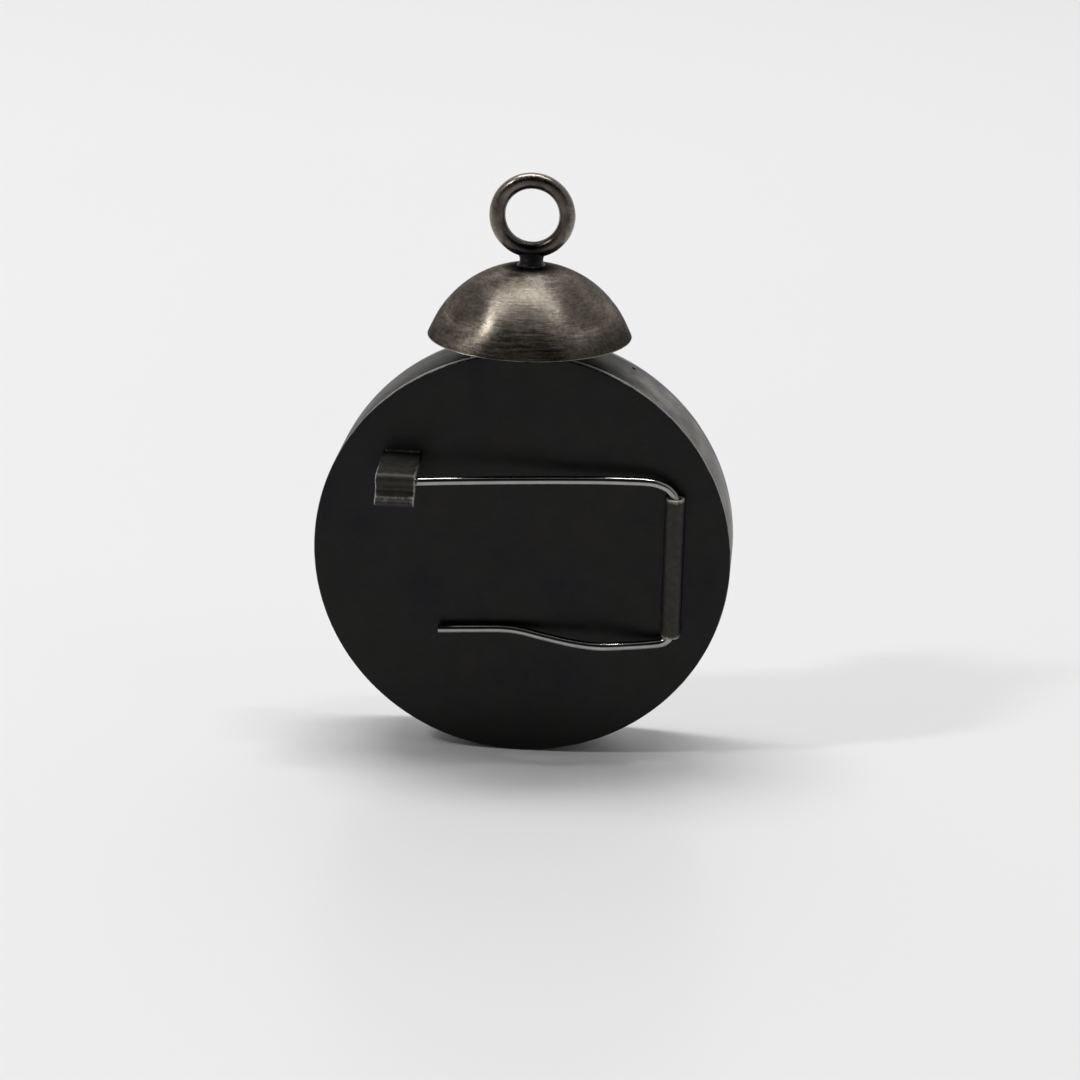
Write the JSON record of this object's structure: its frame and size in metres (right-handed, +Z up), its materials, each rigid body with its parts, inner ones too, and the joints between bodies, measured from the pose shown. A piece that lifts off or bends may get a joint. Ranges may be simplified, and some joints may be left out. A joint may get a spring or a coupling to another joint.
{
  "type": "brooch",
  "caption": "Hollow round metal brooch: drum case, domed cap and ring on top, and on its back a sprung wire pin that turns in a soldered tube and hooks into a bent-strip catch.",
  "frame": {"origin": "centre of the front plate's flat outer face, on the case's own axis", "axes": "+Z up through the dome and the ring; +Y out of the plain front face; the pin side faces -Y; +X towards the hinge tube"},
  "size_m": [0.045, 0.0222, 0.0635],
  "materials": {
    "dark_plate": "near-black oxidised silver, satin, faintly scuffed",
    "brushed_band": "grey oxidised silver, rubbed back and brushed around the edge",
    "dome_metal": "warm grey-brown oxidised silver with level brush lines",
    "ring_metal": "brown-grey oxidised silver, burnished smooth",
    "finding_metal": "dark oxidised silver with bright worn edges",
    "pin_wire": "polished hard stainless wire"
  },
  "bodies": {
    "case": {"front_plate": "dark_plate", "back_plate": "dark_plate", "case_band": "brushed_band", "dome": "dome_metal", "dome_post": "dome_metal", "ring_neck": "ring_metal", "bail_ring": "ring_metal", "hinge_tube": "finding_metal", "catch": "finding_metal"},
    "pin_base": {"pin_spring": "pin_wire"},
    "pin_leg": {"pin_stem": "pin_wire"}
  },
  "joints": [
    {"name": "pin_swing", "type": "hinge", "parent": "case", "child": "pin_base", "pos_m": [0.0164, -0.00995, 0], "axis": [0, 0, 1], "range_deg": [0, 170]},
    {"name": "pin_flex", "type": "hinge", "parent": "pin_base", "child": "pin_leg", "pos_m": [0.0117, -0.01067, 0.0097], "axis": [0, -1, 0], "range_deg": [0, 7.5], "stiffness_Nm_per_rad": 0.8}
  ]
}
